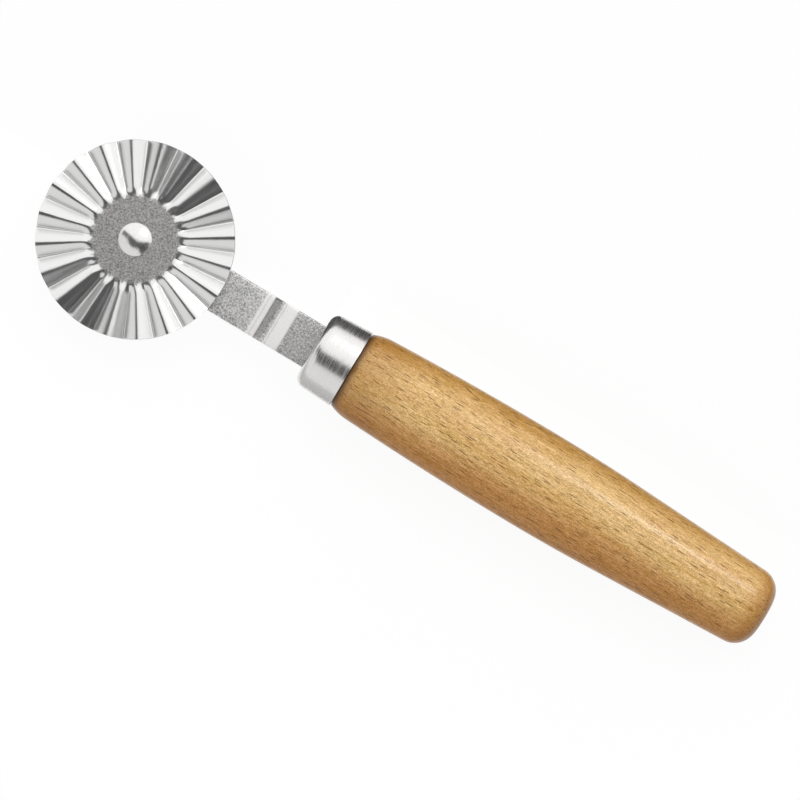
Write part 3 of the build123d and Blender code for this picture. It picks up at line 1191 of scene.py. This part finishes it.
@dataclass
class Handle:
    """Turned grip with a tenon under the ferrule and a pocket for the tang."""

    length: float = 96.0 * MM
    belly_from_shoulder: float = 42.0 * MM
    front_sweep: float = 800.0 * MM
    rear_sweep: float = 400.0 * MM
    rear_taper: float = 2.7
    neck_length: float = 4.0 * MM
    neck_radius: float = 8.15 * MM
    butt_rounding: float = 4.7 * MM
    tenon_front_radius: float = 7.4 * MM
    tenon_back_radius: float = 7.8 * MM
    tenon_rounding: float = 1.45 * MM
    pocket_root: float = 3.3 * MM
    pocket_tip: float = 1.9 * MM
    pocket_half_height: float = 0.85 * MM
    pocket_clearance: float = 0.1 * MM
    sweep_steps: int = 24
    step: float = 1.0 * MM
    sides: int = 144

    def side(self, belly: float, shoulder: float, butt: float, radius: float) -> list[Triple]:
        """Draws the side of the grip, from the shoulder to the butt.

        Args:
            belly: where the grip is widest, behind the axle.
            shoulder: where it starts.
            butt: where it ends.
            radius: radius at the belly.

        Returns:
            Place, radius and rounding of each corner.
        """
        neck = shoulder + self.neck_length
        neck_turn = math.asin((belly - neck) / self.front_sweep)
        turns = [neck_turn * k / self.sweep_steps for k in range(self.sweep_steps, -1, -1)]
        sweep = self.front_sweep
        front = [(belly - sweep * math.sin(a), radius - sweep * (1 - math.cos(a)), 0) for a in turns]
        start = Vector(front[0][:2])
        chord = Vector((shoulder, self.neck_radius)) - start
        heading = Vector((-math.cos(neck_turn), -math.sin(neck_turn)))
        half_turn = math.atan2(heading.cross(chord), heading.dot(chord))
        rounding = []
        for k in range(self.sweep_steps, 0, -1):
            part = half_turn * k / self.sweep_steps
            reach_here = chord.length * math.sin(part) / math.sin(half_turn)
            spot = start + Matrix.Rotation(part, 2) @ heading * reach_here
            rounding.append((spot.x, spot.y, 0))
        taper = math.radians(self.rear_taper)
        turns = [taper * (k + 1) / self.sweep_steps for k in range(self.sweep_steps)]
        sweep = self.rear_sweep
        rear = [(belly + sweep * math.sin(a), radius - sweep * (1 - math.cos(a)), 0) for a in turns]
        end = rear[-1][1] - (butt - rear[-1][0]) * math.tan(taper)
        return rounding + front + rear + [(butt, end, self.butt_rounding)]

    def build(self) -> Thing:
        """Turns the grip and cuts the pocket.

        Returns:
            The handle.
        """
        low, high = reach("handle")
        shoulder = high.x - self.length
        belly = shoulder + self.belly_from_shoulder
        corners = [
            (low.x, 0, 0),
            (low.x, self.tenon_front_radius, self.tenon_rounding),
            (shoulder, self.tenon_back_radius, 0),
        ]
        corners += self.side(belly, shoulder, high.x, high.y) + [(high.x, 0, 0)]
        grip = turned(rounded(corners, self.step), TurnAxis.HANDLE, self.sides)
        plan = [
            (low.x - self.tenon_rounding, self.pocket_root),
            (low.x, self.pocket_root),
            (reach("shank")[1].x + self.pocket_clearance, self.pocket_tip),
        ]
        plan += [(x, -y) for x, y in reversed(plan)]
        mesh = carved(grip, prism(plan, -self.pocket_half_height, self.pocket_half_height))
        material = LacqueredBeech().material()
        return set_up("turned_handle", mesh, material, "handle", Body.HANDLE_SET)


@dataclass(frozen=True)
class Lamp:
    """Flat soft light that faces the middle of the wheel.

    It can be set to light dull surfaces only, or to show in shiny ones only.
    """

    name: str
    azimuth: float
    zenith: float
    distance: float
    size: Point
    radiance: float
    spread: bool = True
    mirrored: bool = True
    shift: float = 0.0

    def hang(self) -> None:
        """Hangs the lamp where its angles and distance say."""
        azimuth, zenith = math.radians(self.azimuth), math.radians(self.zenith)
        out = math.sin(zenith)
        towards = Vector((out * math.cos(azimuth), out * math.sin(azimuth), math.cos(zenith)))
        light = bpy.data.lights.new(self.name, "AREA")
        light.shape = "RECTANGLE"
        light.size, light.size_y = self.size
        light.energy = self.radiance * math.pi * light.size * light.size_y
        lamp = linked(self.name, light)
        lamp.visible_diffuse = self.spread
        lamp.visible_glossy = self.mirrored
        lamp.location = AXLE + towards * self.distance + Vector((self.shift, 0, 0))
        lamp.rotation_euler = towards.to_track_quat("Z", "Y").to_euler()


@dataclass
class Studio:
    """White table, soft lights, pale surroundings, a dark overhead panel and the camera."""

    picture_width: float = 160.0 * MM
    picture_centre: Point = (61.9 * MM, -0.25 * MM)
    roll: float = 30.98
    lens: float = 200.0
    sensor: float = 36.0
    clip: Point = (0.01, 100.0)
    room_levels: Point = (0.91, 1.18)
    room_change: float = 0.2
    lamps: tuple[Lamp, ...] = (
        Lamp("softbox", azimuth=110, zenith=30, distance=0.8, size=(1.2, 0.8), radiance=0.85, mirrored=False),
        Lamp(
            "strip_light", azimuth=90, zenith=49, distance=0.95, size=(0.3, 0.2), radiance=8.0, spread=False,
            shift=0.26,
        ),
    )
    panel_height: float = 1.1
    panel_plan: tuple[Point, ...] = (
        (-3.3, 0.62), (-1.5, 0.24), (-0.4, 0.08), (0.2, -0.02), (0.7, 0.15), (1.6, 0.6), (2.9, 1.0),
        (4.0, 1.9), (4.0, -3.6), (2.44, -2.2), (1.2, -1.08), (0.72, -0.66), (0.5, -0.62), (0.3, -0.68),
        (0.1, -0.72), (0.0, -0.72), (-0.12, -0.7), (-0.25, -0.63), (-0.45, -0.5), (-0.6, -0.32),
        (-1.5, -0.26), (-3.3, -0.5),
    )
    panel_colour: str = "#7E7E7E"
    flag_near: Point = (16.0 * MM, 6.0 * MM)
    flag_size: Point = (0.4, 0.4)
    flag_lift: float = 0.5 * MM
    flag_colours: tuple[str, str] = ("#525252", "#D4D4D4")
    floor_size: float = 6.0
    floor_colour: str = "#B4B4B4"
    floor_glow: float = 0.85
    floor_white: float = 1.1

    def light(self) -> None:
        """Sets the room's level, brighter behind the tool, and hangs the lamps."""
        world = bpy.data.worlds.new("pale_room")
        bpy.context.scene.world = world
        add = emptied(world)
        way = add("ShaderNodeTexCoord", out="Generated")
        depth = add("ShaderNodeSeparateXYZ", (way,), out="Y")
        levels = (depth, -self.room_change, self.room_change, *self.room_levels)
        level = add(RANGE, levels, **SMOOTH)
        sky = add("ShaderNodeBackground", {"Color": WHITE, "Strength": level})
        add("ShaderNodeOutputWorld", {"Surface": sky})
        for lamp in self.lamps:
            lamp.hang()

    def sheet(self, name: str, plan: Sequence[Point], height: float, material: Material) -> Thing:
        """Lays a flat sheet that belongs to the studio.

        Args:
            name: name of the sheet.
            plan: its corners.
            height: its height above the table.
            material: its surface.

        Returns:
            The sheet.
        """
        mesh = bpy.data.meshes.new(name)
        mesh.from_pydata([(x, y, height) for x, y in plan], [], [range(len(plan))])
        mesh.materials.append(material)
        thing = linked(name, mesh)
        return thing

    def matt(self, name: str, colour: str, glow: float = 0.0) -> Material:
        """Dull paper or cloth. A glow makes it white to the eye and in reflections, and shadows still show.

        Args:
            name: name of the material.
            colour: its colour.
            glow: how much of what is seen of it is plain white.

        Returns:
            The material.
        """
        material = bpy.data.materials.new(name)
        add = emptied(material)
        surface = add("ShaderNodeBsdfDiffuse", {"Color": linear(colour)})
        if glow:
            rays = add("ShaderNodeLightPath").node.outputs
            seen = rays["Is Camera Ray"]
            for other in ("Is Glossy Ray", "Is Transmission Ray"):
                seen = add(MATH, (seen, rays[other]), "MAXIMUM")
            share = add(MATH, (seen, glow), "MULTIPLY")
            white = add("ShaderNodeEmission", {"Color": WHITE, "Strength": self.floor_white})
            surface = add("ShaderNodeMixShader", (share, surface, white))
        add("ShaderNodeOutputMaterial", {"Surface": surface})
        return material

    def furnish(self) -> None:
        """Lays the floor, hangs the dark panel, and lays the flags that the metal's edges reflect."""
        half = self.floor_size / 2
        square = [(-half, -half), (half, -half), (half, half), (-half, half)]
        self.sheet("floor", square, 0, self.matt("white_paper", self.floor_colour, self.floor_glow))
        plan = [(AXLE.x + x * self.panel_height, y * self.panel_height) for x, y in self.panel_plan]
        cloth = self.matt("panel_cloth", self.panel_colour)
        self.sheet("overhead_panel", plan, self.panel_height, cloth)
        right, depth = self.flag_size[0] / 2, self.flag_size[1]
        beside_grip, beside_strip = self.flag_near
        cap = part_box("ferrule")[0].x
        far = [(right, depth), (-right, depth), (-right, beside_strip), (cap, beside_strip)]
        far += [(cap, beside_grip), (right, beside_grip)]
        near = [(-right, -depth), (right, -depth), (right, -beside_grip), (-right, -beside_grip)]
        for side, plan, colour in zip(("far", "near"), (far, near), self.flag_colours):
            cloth = self.matt(f"{side}_flag_cloth", colour)
            flag = self.sheet(f"{side}_flag", plan, self.flag_lift, cloth)
            flag.visible_camera = False
            flag.visible_diffuse = False
            flag.visible_shadow = side == "far"

    def aim(self) -> None:
        """Sets the camera straight above the tool, turned so that the handle runs down to the right."""
        camera = bpy.data.cameras.new("camera")
        camera.lens = self.lens
        camera.sensor_width = self.sensor
        camera.clip_start, camera.clip_end = self.clip
        eye = linked("camera", camera)
        distance = self.picture_width * self.lens / self.sensor
        eye.location = AXLE + Vector((*self.picture_centre, distance))
        eye.rotation_euler = (0, 0, math.radians(self.roll))
        bpy.context.scene.camera = eye

    def build(self) -> None:
        """Sets up everything round the tool."""
        bpy.context.scene.view_settings.view_transform = "Standard"
        self.light()
        self.furnish()
        self.aim()


def main() -> None:
    """Builds the pieces in order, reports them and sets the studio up."""
    logging.basicConfig(level=logging.INFO, format="%(message)s")
    strip_finish = BlastedSteel().material()
    axle = Axle()
    pieces = [
        FlutedWheel().build(),
        axle.rivet(),
        axle.washer(strip_finish),
        Shank().build(strip_finish),
        Ferrule().build(),
        Handle().build(),
    ]
    for piece in pieces:
        LOG.info("%s: %d faces of %s", piece.name, len(piece.data.polygons), piece.data.materials[0].name)
    Studio().build()


if __name__ == "__main__":
    main()
